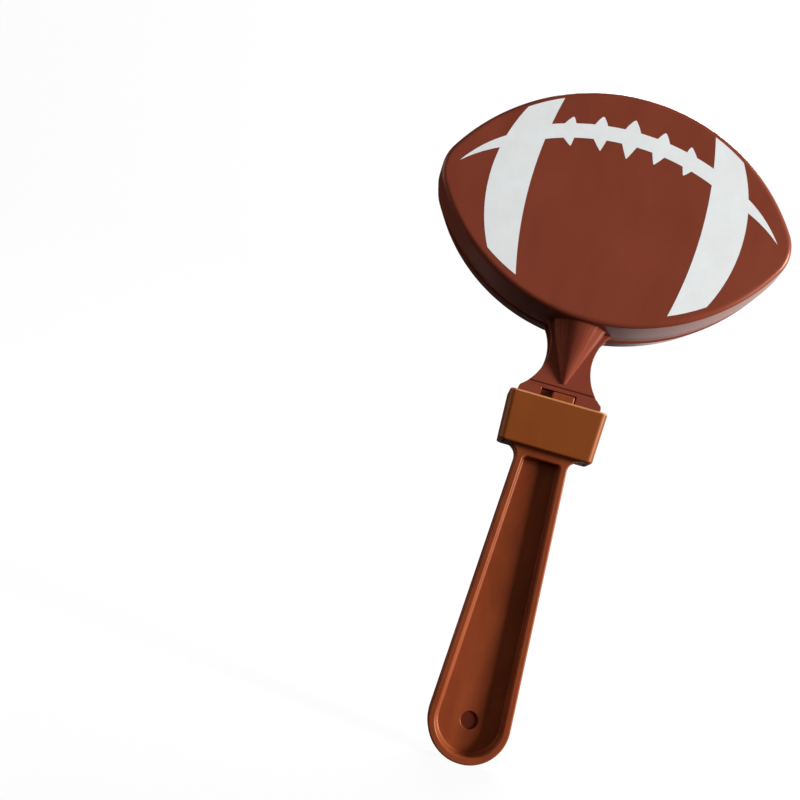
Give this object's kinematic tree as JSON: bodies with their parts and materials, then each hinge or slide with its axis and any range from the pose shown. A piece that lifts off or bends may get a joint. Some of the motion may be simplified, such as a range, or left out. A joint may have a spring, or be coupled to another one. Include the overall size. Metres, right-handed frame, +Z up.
{
  "type": "football clapper",
  "caption": "Hand-held noise-maker: football-shaped dished shells swing on a ringed frame with a grip handle and clap together when it is shaken.",
  "frame": {"origin": "middle of the grip: centred in the handle's width and thickness, half way between the sleeve's foot and the round end", "axes": "+Z up the handle to the football, X along the football, -Y out of the front shell's face"},
  "size_m": [0.1216, 0.0332, 0.2301],
  "materials": {
    "frame_plastic": "satin-gloss moulded polypropylene, football brown",
    "shell_plastic": "satin-gloss moulded polypropylene, football brown",
    "sleeve_plastic": "satin-gloss moulded polypropylene, football brown",
    "print_ink": "pad-printed white ink"
  },
  "bodies": {
    "frame": {"frame": "frame_plastic", "sleeve": "sleeve_plastic"},
    "front_clapper": {"front_shell": "shell_plastic"},
    "rear_clapper": {"rear_shell": "shell_plastic"}
  },
  "joints": [
    {"name": "front_swing", "type": "hinge", "parent": "frame", "child": "front_clapper", "pos_m": [0, -0.00495, 0.0675], "axis": [1, 0, 0], "range_deg": [0, 24]},
    {"name": "rear_swing", "type": "hinge", "parent": "frame", "child": "rear_clapper", "pos_m": [0, 0.00495, 0.0675], "axis": [-1, 0, 0], "range_deg": [0, 24]}
  ]
}
